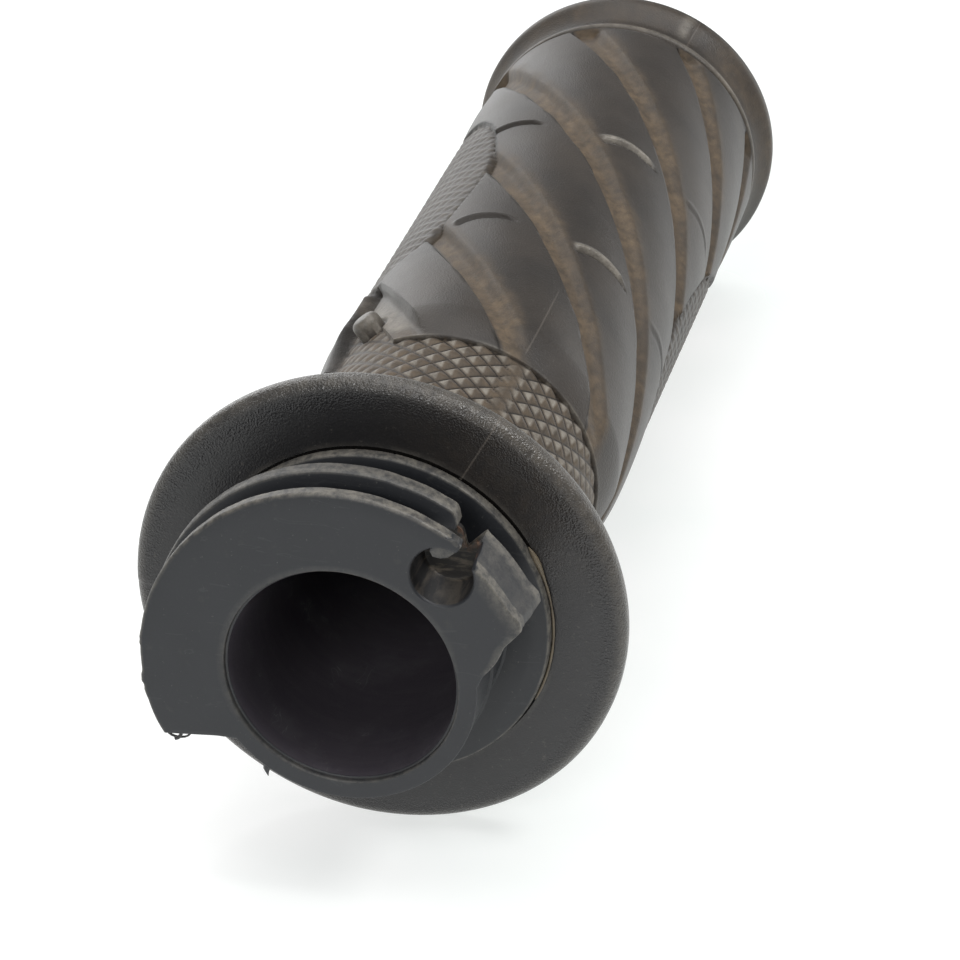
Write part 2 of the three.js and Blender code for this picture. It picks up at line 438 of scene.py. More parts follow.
def sleeve_stations():
    """The sleeve's section as (X, radius) points, once round: face, rim, back, outside, end and
    bore. The outside's radius is left open, and its mesh is finer where its relief is."""
    rim_r = FLANGE_R - FLANGE_RIM
    back = FLANGE_BACK_X
    recess_x, recess_r = FLANGE_X + 0.3, DISC_R + 0.12  # the stop disc lies against it
    points = straight((recess_x, SLEEVE_BORE_R), (recess_x, recess_r), 1.1)
    points += straight((recess_x, recess_r), (FLANGE_X + 0.08, recess_r + 0.08), 0.3)
    points += straight((FLANGE_X, recess_r + 0.16), (FLANGE_X, rim_r), 0.55)
    points += bend((FLANGE_X + FLANGE_RIM, rim_r), FLANGE_RIM, 180, 90, 7)
    points += bend((back - FLANGE_RIM, rim_r), FLANGE_RIM, 90, 0, 7)
    points += straight((back, rim_r), (back, BAND_R + 0.5), 0.8)
    points += bend((back + 1, BAND_R + 0.5), 1.0, 180, 270, 4)
    outside = steps(back + 1, LAYER_X - 0.2, KNURL_PITCH / 10)
    outside += [LAYER_X + dx for dx in (-0.2, -0.05, 0.0, 0.05, 0.1, 0.2, 0.35)]
    for start, stop, step in (
        (LAYER_X + 0.55, 56.0, KNURL_PITCH / 10),
        (56.0, 68.4, 0.36),
        (68.4, 72.6, 0.15),
        (72.6, 96.0, 0.27),
        (96.0, 100.4, 0.15),
        (100.4, 110.0, 0.3),
        (110.0, 129.2, 0.4),
        (129.2, 132.0, 0.12),
        (132.0, LENGTH - BEAD_RIM, 0.4),
    ):
        outside += steps(start, stop, step)
    first_outside = len(points)
    points += [(x, None) for x in outside]
    last_outside = len(points)
    ring_x = TUBE_END_X + 0.3
    points += bend((LENGTH - BEAD_RIM, BEAD_R - BEAD_RIM), BEAD_RIM, 90, 0, 7)
    points += straight((LENGTH, BEAD_R - BEAD_RIM), (LENGTH, END_RING_R + 0.3), 1.5)
    points += straight((LENGTH - 0.3, END_RING_R), (ring_x, END_RING_R), 1.7)
    points += straight((ring_x, END_RING_R), (ring_x, SLEEVE_BORE_R), 1.0)
    points += straight((ring_x, SLEEVE_BORE_R), (recess_x, SLEEVE_BORE_R), 8.0)
    return points, first_outside, last_outside


def grip_rubber():
    points, first, last = sleeve_stations()
    station_x = np.array([p[0] for p in points])[:, None]
    column = np.arange(COLUMNS, dtype=float)[None, :]

    # beyond the layer's edge the columns follow the channels
    x = station_x + 0 * column
    angle = column - CHANNEL_SLOPE * np.clip(x - LAYER_X, 0, BEAD_ROOT_X - LAYER_X)

    radius = np.array([p[1] or 0 for p in points])[:, None] + 0 * angle
    dirt, wear, soot = (np.zeros_like(angle) for _ in range(3))
    outer = slice(first, last)
    radius[outer], dirt[outer], wear[outer], soot[outer] = sleeve_relief(x[outer], angle[outer])

    # the soft flange's rim is a little uneven, and bent outboard where it bears on the floor
    flange = slice(0, first)
    out = ramp(radius[flange], 19, FLANGE_R)
    sag = 0.14 * np.cos(np.radians(2 * (angle[flange] - 20))) + 0.1 * wobble(0, angle[flange], 18, 3)
    bent = 1.2 * hump(angle[flange] % 360, 285, 95) + 0.45 * hump(angle[flange] % 360, 315, 42)
    x[flange] = x[flange] + out * (sag + bent)
    # painted highlight: pale specks round the rim's front rounding, and a pale line on the lip by the
    # stop disc
    rim = hump(radius[flange], FLANGE_R, 1.6) * (x[flange] < FLANGE_BACK_X)
    lip = hump(radius[flange], 18.15, 0.3) * np.clip(0.5 + layered_noise(0, angle[flange], 3, 7), 0, 1)
    wear[flange] = np.maximum(0.3 * rim, 0.6 * lip)
    dirt[flange] = 0.15 * hump(angle[flange] % 360, 130, 50) * ramp(radius[flange], 17, 19)
    # painted shade in the recess round the stop disc
    soot[flange] = 1 - ramp(radius[flange], 17.8, 17.92)

    obj = torus_mesh("grip_rubber_sleeve", x, radius, angle, dirt=dirt, wear=wear, soot=soot)
    for turn in (STUD_ANGLE, STUD_ANGLE + 180):
        combine(obj, stud(turn), "UNION")
    smooth(obj, 38)
    return obj


def stud(angle):
    """A short round stud with a domed top."""
    profile = [(STUD_R + 0.08, 14.6), (STUD_R, 15.6), (STUD_R, STUD_TOP_R - STUD_DOME)]
    for t in range(15, 90, 15):
        s, c = math.sin(math.radians(t)), math.cos(math.radians(t))
        profile.append((STUD_R - STUD_DOME * (1 - c), STUD_TOP_R - STUD_DOME * (1 - s)))
    up = np.array([0, math.cos(math.radians(angle)), math.sin(math.radians(angle))])
    side = np.array([0, -up[2], up[1]])
    turns = [math.radians(t) for t in range(360, 0, -8)]

    def ring(r, height):
        centre = np.array([STUD_X, 0, 0]) + height * up
        return [centre + r * (math.cos(t) * np.array([1, 0, 0]) + math.sin(t) * side) for t in turns]

    # painted highlight: the whole stud is painted pale for its lit top
    return loft("stud", [ring(r, height) for r, height in profile], wear=0.6)


# ---------------------------------------------------------------- the throttle tube

def sector_edge(angle, start, stop, inside, outside, blur=0.25):
    """inside between two angles, outside elsewhere, with a steep side."""
    a = (angle + 180) % 360 - 180
    between = ramp(a, start - blur, start + blur) * (1 - ramp(a, stop - blur, stop + blur))
    return mix(outside, inside, between)


def lower_cut(angle, rim):
    """The pulley's lower edge is a straight, nearly level line from the tube out to the rim."""
    a = np.radians((angle + 180) % 360 - 180)
    line = LOWER_EDGE / np.maximum(-np.sin(a) - 0.08 * np.cos(a), 0.05)
    return np.where((a < 0) & (a > -math.pi / 2), np.minimum(rim, np.maximum(line, TUBE_R)), rim)


def cheek_edge(angle):
    """The cheek's rim, and below it the torn edge running back into the tube."""
    corners = (130, 150, 154.5, 157, 160.7, 166, 171.6, 176.5)
    reach = (18.95, 18.95, 19.35, 19.1, 16.95, 15.7, 14.05, TUBE_R)
    return np.interp(angle, corners, reach)


def tube_columns():
    """Column angles: one for each degree, and closer together at the pulley's steep ends."""
    ends = (PULLEY_FOOT, PULLEY_START, RIDGE_END, CHEEK_START, CHEEK_LEDGE)
    extra = {end + d for end in ends for d in (-0.5, -0.25, -0.1, 0.1, 0.25, 0.5)}
    return np.array(sorted(set(np.arange(-180.0, 180.0, 1.0)) | extra))[None, :]


class Pulley:
    """Radii of the pulley, its cheek and the web behind the seat, at each angle round the bore."""

    def __init__(self, angle):
        a = (angle + 180) % 360 - 180
        self.nick = nick = layered_noise(3, angle, 1.6, 41)
        burr = np.maximum(layered_noise(9, angle, 0.9, 43), 0) * hump(a, -4, 16)

        # the front plate, and the cheek block that is as deep as the whole pulley
        self.block = ramp(a, CHEEK_START - 0.25, CHEEK_START + 0.25)
        cheek = np.maximum(cheek_edge(a) + 0.03 * nick, TUBE_R)
        on_plate = sector_edge(a, PULLEY_FOOT, 190, 1, 0)
        swell = 0.25 * hump(a, 0, 40) + 0.25 * hump(a, -20, 18)
        plate = mix(TUBE_R, lower_cut(a, PLATE_R + 0.06 * nick + swell), on_plate)
        self.plate = plate = mix(plate, cheek, ramp(a, 127, 133))
        self.rim = plate + 0.45 * burr
        self.tall = ramp(plate, TUBE_R + 0.5, TUBE_R + 2)
        self.bevel = 0.12 + self.tall * (0.3 + 0.06 * nick) * (1 - 0.8 * self.block)
        self.behind = plate + 0.65 * self.block * ramp(plate, 17, 18.5)  # the cheek widens outboard

        # the cable groove's floor, and the ridge behind it
        floor_r = mix(TUBE_R, np.minimum(GROOVE_R, plate), on_plate)
        self.groove = mix(floor_r, plate, self.block)
        ridge_top = RIDGE_R + 0.05 * nick - 1.1 * ramp(a, RIDGE_END - 5, RIDGE_END + 0.5) ** 2
        on_ridge = sector_edge(a, PULLEY_FOOT, RIDGE_END, 1, 0)
        web = mix(TUBE_R, WEB_R - 1.1 * ramp(a, 125, 131) + 0.2 * nick, ramp(a, 110, 115))
        self.ridge = mix(mix(web, lower_cut(a, ridge_top), on_ridge), plate, self.block)
        self.ridge_back = mix(self.ridge, self.behind, self.block)


def tube_rows(p):
    """The tube's section as (X, radius) rows, once round: bore, mouth, pulley, neck, disc, tube."""
    rows = [(x, BORE_R) for x in (118.0, 104, 90, 76, 62, 48, 34, 24, 16, 10, 6, 3, 1.4)]
    mouth = ((0.72, 0), (0.6, 0.01), (0.56, 0.06), (0.52, 0.2), (0.2, 0.23), (0.06, 0.3), (0, 0.4))
    rows += [(x, BORE_R + r) for x, r in mouth]

    face_r = np.maximum(p.rim - p.bevel, TUBE_R - 0.2)
    rows += [(0.0, mix(BORE_R + 0.4, face_r, t)) for t in (0.08, 0.3, 0.55, 0.8, 1.0)]
    for t in (25, 50, 75, 90):
        s, c = math.sin(math.radians(t)), math.cos(math.radians(t))
        rows.append((p.bevel * (1 - c), face_r + (p.rim - face_r) * s))

    back = np.maximum(p.groove, p.plate - 0.12)
    groove_end = mix(p.groove, p.behind, 0.6 * p.block)
    start = np.maximum(groove_end, p.ridge - 0.35)
    rows += [
        (0.9, p.rim - 0.05 * p.tall),
        (1.38, np.maximum(p.rim - 0.02, p.groove)),
        (1.5, back),
        (1.5, mix(back, p.groove, 0.5)),
        (1.5, p.groove + 0.25 * (back - p.groove > 0.5)),
        (1.72, p.groove),
        (2.75, mix(p.groove, p.behind, 0.45 * p.block)),
        (3.8, groove_end),
        (4.0, groove_end + 0.25 * (p.ridge - groove_end > 0.5)),
        (4.0, mix(groove_end, start, 0.5)),
        (4.0, start),
        (4.1, np.maximum(groove_end, p.ridge - 0.12)),
        (4.35, mix(p.ridge, p.behind, 0.7 * p.block)),
        (5.0, mix(p.ridge + 0.03 * p.nick, p.behind, 0.85 * p.block)),
        (5.75, p.ridge_back),
        (5.9, np.maximum(p.ridge_back - 0.12, TUBE_R + 0.27)),
        (6.0, np.maximum(p.ridge_back - 0.35, TUBE_R + 0.26)),
        (6.0, np.maximum(mix(p.ridge_back - 0.35, TUBE_R, 0.5), TUBE_R + 0.255)),
        (6.0, TUBE_R + 0.25),
        (6.25, TUBE_R),
        (9.0, TUBE_R),
        (11.75, TUBE_R),
        (12.0, TUBE_R + 0.25),
        (12.0, 15.5),
        (12.0, DISC_R - 0.3),
        (12.1, DISC_R - 0.1),
        (12.32, DISC_R + 0.02 * p.nick),
        (13.0, DISC_R),
        (13.2, DISC_R),
        (13.2, TUBE_R),
    ]
    rows += [(x, TUBE_R) for x in (20.0, 40, 60, 80, 100, 120, TUBE_END_X)]
    return rows + [(TUBE_END_X, BORE_R)]


def tube_wear(p, x, radius, angle):
    """Wear along the pulley's rims and round the bore's mouth, a painted highlight along the disc's
    rim, and over the cheek painted light on its top, paler at its front edge.
    """
    at_rim = np.minimum(np.abs(radius - p.rim), 3)
    on_ridge_rim = (1 - ramp(np.abs(radius - p.ridge_back), 0, 0.3)) * (x > 3.9) * (x < 6.1)
    ridge_end = 0.7 + 0.3 * ramp(angle % 360, 95, 122)
    on_cheek = p.block * (radius > p.plate - 0.25) * (x > 0.1) * (x < 6.1) * p.tall
    return strongest(
        (1 - ramp(at_rim, 0.0, 0.4)) * (x < 1.5) * p.tall,
        on_ridge_rim * ridge_end * p.tall,
        # painted light: the cheek's top is painted lighter, as if lit from above
        on_cheek * (0.25 + 0.2 * p.nick + 0.3 * (x < 0.3)),
        # painted highlight along the disc's rim
        0.9 * (np.abs(radius - DISC_R) < 0.25) * (x > 11.9) * (x < 13.3),
        0.4 * hump(radius, BORE_R + 0.3, 0.2) * (x < 1),
    )


def throttle_tube():
    columns = tube_columns()
    p = Pulley(columns)
    rows = tube_rows(p)
    angle = np.repeat(columns, len(rows), 0)
    x = np.concatenate([0 * columns + row[0] for row in rows])
    radius = np.concatenate([0 * columns + row[1] for row in rows])
    inner = np.where((x > 0.65) & (radius < BORE_R + 0.01), 1.0, 0.0)
    wear = tube_wear(p, x, radius, angle)
    obj = torus_mesh("throttle_tube_body", x, radius, angle, wear=wear, inner=inner)
    cut_seat(obj)
    add_tongue(obj)
    add_flash(obj)
    smooth(obj, 35)
    return obj


def loft(name, sections, wear=0.0):
    """A closed skin through rings of points that run one after another, capped at both ends."""
    rings = np.array(sections, float)
    k, n, _ = rings.shape
    points = np.concatenate([rings.reshape(-1, 3), rings[[0, -1]].mean(1)])
    faces = []
    for j in range(n):
        b = (j + 1) % n
        for i in range(k - 1):
            at, on = i * n, (i + 1) * n
            faces += [[at + j, at + b, on + b], [at + j, on + b, on + j]]
        faces += [[n * k, b, j], [n * k + 1, (k - 1) * n + j, (k - 1) * n + b]]
    return mesh_object(name, points * MM, np.array(faces), wear=[wear] * len(points))


def combine(obj, tool, how):
    """Adds the tool's solid to the object's or takes it away, and removes the tool."""
    step = obj.modifiers.new("solid", "BOOLEAN")
    step.operation, step.solver, step.object = how, "MANIFOLD", tool
    bpy.context.view_layer.objects.active = obj
    bpy.ops.object.modifier_apply(modifier=step.name)
    bpy.data.objects.remove(tool)


def cut_seat(tube):
    """The nipple's round seat with a small lead-in, and the flared slot from it to the rim."""
    out = np.array([math.cos(math.radians(SEAT_ANGLE)), math.sin(math.radians(SEAT_ANGLE))])
    side = np.array([-out[1], out[0]])
    turns = np.radians(np.arange(0, 360, 5))

    def ring(x, r):
        return [(x, *(SEAT_PITCH_R * out + r * np.array([math.cos(t), math.sin(t)]))) for t in turns]

    def slot(x, *corners):
        return [(x, *(r * out + d * side)) for r, d in corners]

    seat = [(-1, SEAT_R + 0.25), (0, SEAT_R + 0.22), (0.1, SEAT_R + 0.08), (0.3, SEAT_R)]
    seat += [(SEAT_DEPTH - 0.4, SEAT_R), (SEAT_DEPTH - 0.1, SEAT_R - 0.15), (SEAT_DEPTH, SEAT_R - 0.5)]
    combine(tube, loft("seat", [ring(x, r) for x, r in seat]), "DIFFERENCE")
    front = [(16, -0.5), (18.3, -0.6), (23, -0.8), (23, 3.6),
             (19.2, 1.9), (18.6, 1.6), (17.6, 1.2), (16, 1.2)]
    back = [(16, -1.0), (18.3, -1.0), (19.0, -1.2), (23, -1.4),
            (23, 1.6), (19.2, 1.1), (18.2, 1.0), (16, 0.9)]
    sections = [slot(-1, *front), slot(0.2, *front), slot(4.0, *back)]
    combine(tube, loft("slot", sections), "DIFFERENCE")


def add_tongue(tube):
    """The plate ends in a worn tongue that hooks down over the seat."""
    outline = [(19.5, 121.5), (19.9, 125.2), (19.6, 126.6), (18.8, 127.0), (17.9, 126.3),
               (17.35, 124.8), (17.0, 122.4), (17.35, 120.6), (18.7, 119.6)]
    centre_r, centre_angle = 18.5, 123.6

    def ring(x, inset):
        inner = [(mix(r, centre_r, inset), mix(t, centre_angle, inset)) for r, t in outline]
        return [(x, r * math.cos(math.radians(t)), r * math.sin(math.radians(t))) for r, t in inner]

    layers = [(0.02, 0.12), (0.1, 0.03), (0.25, 0.0), (1.1, 0.0), (1.35, 0.1)]
    combine(tube, loft("tongue", [ring(x, inset) for x, inset in layers], wear=0.45), "UNION")


def swept(name, path, radii, wear):
    """A round wire of changing thickness along a path of (X, Y, Z) points."""
    path = np.array(path, float)
    turns = [math.radians(t) for t in range(0, 360, 45)]
    across = np.array([0.31, 0.52, 0.8])  # any direction that the path never takes
    sections = []
    for p, ahead, r in zip(path, np.gradient(path, axis=0), radii):
        a = np.cross(ahead, across)
        a = a / np.linalg.norm(a)
        b = np.cross(ahead, a) / np.linalg.norm(ahead)
        sections.append([p + r * (math.cos(t) * a + math.sin(t) * b) for t in turns])
    return loft(name, sections, wear)


def add_flash(tube):
    """Moulding flash: a curl at the pulley's lower corner and a spike under the tube's rim."""
    turns = [math.radians(t) for t in range(-60, 400, 20)]
    curl = [
        (0.3 + 0.08 * t, 17.1 - 0.9 * math.cos(t) - 0.13 * t, -8.8 + 0.55 * math.sin(t))
        for t in turns
    ]
    thick = [0.2 - 0.005 * i for i in range(len(curl))]
    combine(tube, swept("curl", curl, thick, wear=0.2), "UNION")
    spike = [(0.5, 7.5, -10.9), (0.45, 7.65, -11.5), (0.4, 7.6, -11.9), (0.35, 7.5, -12.25)]
    combine(tube, swept("spike", spike, [0.5, 0.35, 0.16, 0.04], wear=0.1), "UNION")


# ---------------------------------------------------------------- the glue line

def adhesive_bead():
    """A thin, uneven thread of cured glue where the stop disc meets the flange."""
    count, sides = 240, 10
    t = np.linspace(0, 1, count)
    angle = mix(*ADHESIVE_ANGLES, t)
    lump = layered_noise(5, angle, 2.2, 91)
    thinning = np.sqrt(np.clip(1 - (2 * t - 1) ** 8, 0.01, 1))  # at both ends
    thick = (0.13 + 0.05 * lump + 0.26 * hump(t, 0.08, 0.14)) * thinning
    points = []
    for i in range(count):
        for k in range(sides):
            p = 2 * math.pi * k / sides
            r = DISC_R + 0.18 + thick[i] * math.cos(p)
            x = ADHESIVE_X + 0.9 * thick[i] * math.sin(p)
            a = math.radians(angle[i])
            points.append((x, r * math.cos(a), r * math.sin(a)))
    faces = []
    for i in range(count - 1):
        for k in range(sides):
            a, b = i * sides + k, i * sides + (k + 1) % sides
            faces += [[a, b, b + sides], [a, b + sides, a + sides]]
    last = (count - 1) * sides
    for k in range(1, sides - 1):
        faces += [[0, k + 1, k], [last, last + k, last + k + 1]]
    obj = mesh_object("adhesive_thread", np.array(points) * MM, np.array(faces))
    smooth(obj, 60)
    return obj


# ---------------------------------------------------------------- materials

class Nodes:
    """Short names for building a node material."""

    def __init__(self, name):
        self.material = bpy.data.materials.new(name)
        self.material.use_nodes = True
        self.tree = self.material.node_tree
        self.shader = self.tree.nodes["Principled BSDF"]
        self.coords = self.tree.nodes.new("ShaderNodeTexCoord").outputs["Object"]

    def link(self, source, target):
        self.tree.links.new(source, target)

    def noise(self, scale, detail=3.0, roughness=0.6, stretch=None, distortion=0.0):
        """Noise with lumps of about 1/scale metres; stretch squeezes it along each axis."""
        tex = self.tree.nodes.new("ShaderNodeTexNoise")
        tex.inputs["Scale"].default_value = scale
        tex.inputs["Detail"].default_value = detail
        tex.inputs["Roughness"].default_value = roughness
        tex.inputs["Distortion"].default_value = distortion
        self.link(self.mapped(stretch), tex.inputs["Vector"])
        return tex.outputs["Fac"]

    def mapped(self, stretch):
        if stretch is None:
            return self.coords
        mapping = self.tree.nodes.new("ShaderNodeMapping")
        mapping.inputs["Scale"].default_value = stretch
        self.link(self.coords, mapping.inputs["Vector"])
        return mapping.outputs["Vector"]

    def cells(self, scale):
        """Soft pebbles of about 1/scale metres."""
        tex = self.tree.nodes.new("ShaderNodeTexVoronoi")
        tex.feature = "SMOOTH_F1"
        tex.inputs["Scale"].default_value = scale
        self.link(self.coords, tex.inputs["Vector"])
        return tex.outputs["Distance"]

    def attribute(self, name):
        node = self.tree.nodes.new("ShaderNodeAttribute")
        node.attribute_name = name
        return node.outputs["Fac"]

    def along_bore(self):
        node = self.tree.nodes.new("ShaderNodeSeparateXYZ")
        self.link(self.coords, node.inputs[0])
        return node.outputs["X"]

    def near_plane(self, angle, inner, outer):
        """1 within inner mm of a plane through the bore's axis, 0 beyond outer mm."""
        across = self.tree.nodes.new("ShaderNodeVectorMath")
        across.operation = "DOT_PRODUCT"
        self.link(self.coords, across.inputs[0])
        lean = math.radians(angle)
        across.inputs[1].default_value = (0, -math.sin(lean), math.cos(lean))
        away = self.math("ABSOLUTE", across.outputs["Value"])
        return self.falloff(away, inner, outer)

    def falloff(self, distance, inner, outer):
        """1 up to a distance of inner mm, falling to 0 at outer mm."""
        node = self.tree.nodes.new("ShaderNodeMapRange")
        node.interpolation_type = "SMOOTHSTEP"
        node.inputs["From Min"].default_value = inner * MM
        node.inputs["From Max"].default_value = outer * MM
        node.inputs["To Min"].default_value = 1
        node.inputs["To Max"].default_value = 0
        self.link(distance, node.inputs["Value"])
        return node.outputs["Result"]

    def beyond(self, start, stop):
        """0 inboard of one place along X, 1 outboard of another, in mm."""
        return self.inverse(self.falloff(self.along_bore(), start, stop))

    def near_line(self, angle, radius, inner, outer):
        """1 within inner mm of a line parallel to X, 0 beyond outer mm."""
        node = self.tree.nodes.new("ShaderNodeVectorMath")
        node.operation = "DISTANCE"
        self.link(self.mapped((0, 1, 1)), node.inputs[0])
        lean = math.radians(angle)
        node.inputs[1].default_value = (0, radius * math.cos(lean) * MM, radius * math.sin(lean) * MM)
        return self.falloff(node.outputs["Value"], inner, outer)

    def math(self, kind, *values, clamp=False):
        node = self.tree.nodes.new("ShaderNodeMath")
        node.operation, node.use_clamp = kind, clamp
        for value, socket in zip(values, node.inputs):
            if isinstance(value, (int, float)):
                socket.default_value = value
            else:
                self.link(value, socket)
        return node.outputs[0]

    def times(self, a, b):
        return self.math("MULTIPLY", a, b)

    def inverse(self, value):
        return self.math("SUBTRACT", 1.0, value)

    def span(self, value, low, high):
        """Stretches a value from 0 to 1 over low to high."""
        return self.math("MULTIPLY_ADD", value, high - low, low)

    def curve(self, value, *stops):
        """A grey ramp through (position, brightness) stops."""
        node = self.tree.nodes.new("ShaderNodeValToRGB")
        points = node.color_ramp.elements
        while len(points) < len(stops):
            points.new(0.5)
        for element, (position, level) in zip(points, stops):
            element.position = position
            element.color = (level, level, level, 1)
        self.link(value, node.inputs["Fac"])
        return node.outputs["Color"]

    def blend(self, factor, a, b):
        """Mixes two colours, each a tuple or another node's output."""
        node = self.tree.nodes.new("ShaderNodeMix")
        node.data_type = "RGBA"
        sockets = [s for s in node.inputs if s.type == "RGBA"]
        self.link(factor, node.inputs["Factor"])
        for value, socket in zip((a, b), sockets):
            if isinstance(value, tuple):
                socket.default_value = (*value, 1)
            else:
                self.link(value, socket)
        return next(s for s in node.outputs if s.type == "RGBA")

    def bump(self, height, strength, distance_mm, below=None):
        node = self.tree.nodes.new("ShaderNodeBump")
        node.inputs["Strength"].default_value = strength
        node.inputs["Distance"].default_value = distance_mm * MM
        self.link(height, node.inputs["Height"])
        if below is not None:
            self.link(below, node.inputs["Normal"])
        return node.outputs["Normal"]

    def finish(self, colour, roughness, normal):
        self.link(colour, self.shader.inputs["Base Color"])
        self.link(roughness, self.shader.inputs["Roughness"])
        self.link(normal, self.shader.inputs["Normal"])
        return self.material


# Linear colours, a pair where noise mixes two
RUBBER = (0.018, 0.0138, 0.0105), (0.036, 0.0278, 0.0210)
FLANGE_FACE = (0.0145, 0.014, 0.0148), (0.021, 0.020, 0.0208)
BROWN_DIRT = (0.052, 0.036, 0.021), (0.135, 0.093, 0.053)
# pale: wear, and painted highlights
RUBBED_AND_LIT_RUBBER = (0.22, 0.198, 0.165)
# painted shade, near black
PAINTED_SHADE = (0.006, 0.0052, 0.0045)
SEAM = (0.15, 0.13, 0.11)
DUST = (0.10, 0.092, 0.080)
PLASTIC = (0.0100, 0.0112, 0.0140), (0.0165, 0.0178, 0.0215)
BLOTCH = (0.032, 0.031, 0.030)
# pale: wear, and painted light on the cheek's top and the disc's rim
RUBBED_AND_LIT_PLASTIC = (0.15, 0.138, 0.117)
SCRATCH = (0.12, 0.12, 0.12)
SPECK = (0.12, 0.115, 0.105)
# paler than the plastic outside: painted light falling into the bore
BORE_PAINTED_LIGHT = (0.056, 0.049, 0.060), (0.066, 0.058, 0.068)
BORE_SCUFF, BORE_LINE = (0.105, 0.100, 0.108), (0.19, 0.185, 0.19)
SEAT_STREAK_TONES = (0.011, 0.0092, 0.0075), (0.095, 0.079, 0.060)
RUST = (0.022, 0.018, 0.015), (0.20, 0.095, 0.045)
ADHESIVE = (0.05, 0.038, 0.024), (0.21, 0.17, 0.115)
FLOOR_GLOW = (0.95, 0.955, 0.95), (0.82, 0.855, 0.84)
FLOOR_STREAK = (0.78, 0.83, 0.80)
FLOOR_GREY = (0.45, 0.455, 0.45), (0.38, 0.40, 0.39)


def rubber_material():
    n = Nodes("worn_rubber_painted_light")
    dirt, wear, soot = n.attribute("dirt"), n.attribute("wear"), n.attribute("soot")
    on_flange = n.falloff(n.along_bore(), 16.3, 17.0)
    grain = n.cells(5600)
    fine = n.noise(5200, 2)
    clouds = n.curve(n.noise(90, 4), (0.35, 0), (0.7, 1))
    specks = n.curve(n.noise(2100, 3, 0.7), (0.62, 0), (0.74, 1))

    base = n.blend(on_flange, n.blend(clouds, *RUBBER), n.blend(clouds, *FLANGE_FACE))
    brown = n.blend(n.curve(n.noise(900, 5, 0.6), (0.3, 0), (0.7, 1)), *BROWN_DIRT)
    soiled = n.times(dirt, n.curve(n.noise(420, 4, 0.65), (0.25, 0.5), (0.6, 1)))
    colour = n.blend(soiled, base, brown)
    # pale marks: wear, and painted highlights on welts, edges, facets and the flange's rim
    pale_mask = n.times(wear, n.curve(n.noise(900, 4, 0.7), (0.35, 0.45), (0.6, 1)))
    colour = n.blend(pale_mask, colour, RUBBED_AND_LIT_RUBBER)
    # painted shade: near black in corners, creases and cuts
    colour = n.blend(n.times(soot, 0.9), colour, PAINTED_SHADE)

    # the parting line shows on the flange, at the layer's inboard end and on the bead
    on_layer = n.times(n.beyond(43, 45), n.inverse(n.beyond(54, 60)))
    shown = n.math("MAXIMUM", n.times(on_flange, 0.4), n.times(on_layer, 0.3))
    shown = n.math("MAXIMUM", shown, n.times(n.beyond(130, 131), 0.25))
    colour = n.blend(n.times(n.near_plane(PARTING, 0.04, 0.13), shown), colour, SEAM)
    colour = n.blend(n.times(specks, n.span(on_flange, 0.3, 0.6)), colour, DUST)

    # the flange is pebbled and shines a little towards its rim
    rim = n.times(on_flange, n.inverse(n.near_line(0, 0, 21.2, 23.4)))
    roughness = n.math("SUBTRACT", n.span(fine, 0.36, 0.56), n.times(on_flange, 0.08))
    roughness = n.math("ADD", roughness, n.times(dirt, 0.2), clamp=True)
    roughness = n.math("SUBTRACT", roughness, n.times(rim, 0.1))
    normal = n.bump(n.times(grain, n.span(rim, 0.35, 1.0)), 0.9, 0.1)
    normal = n.bump(fine, 0.4, 0.03, normal)
    n.shader.inputs["Sheen Weight"].default_value = 0.12
    n.shader.inputs["Sheen Roughness"].default_value = 0.4
    # where shade is painted, the reflections are taken down too
    n.link(n.span(soot, 0.5, 0.08), n.shader.inputs["Specular IOR Level"])
    return n.finish(colour, roughness, normal)


def bore_colour(n):
    """The bore's wall, painted paler than the plastic outside for the light that falls into it, with
    faint rings, scuffs and scratches.
    """
    rings = n.curve(n.noise(240, 4, 0.6, (5.0, 0.7, 0.7), 0.3), (0.4, 0), (0.7, 1))
    scuffs = n.curve(n.noise(170, 5, 0.65), (0.5, 0), (0.75, 1))
    lines = n.noise(330, 2, 0.5, (0.5, 1.0, 1.6), 1.5)
    lines = n.curve(lines, (0.61, 0), (0.62, 1), (0.625, 1), (0.635, 0))
    bore = n.blend(n.times(scuffs, 0.5), n.blend(rings, *BORE_PAINTED_LIGHT), BORE_SCUFF)
    return n.blend(n.times(lines, n.times(scuffs, 0.8)), bore, BORE_LINE)


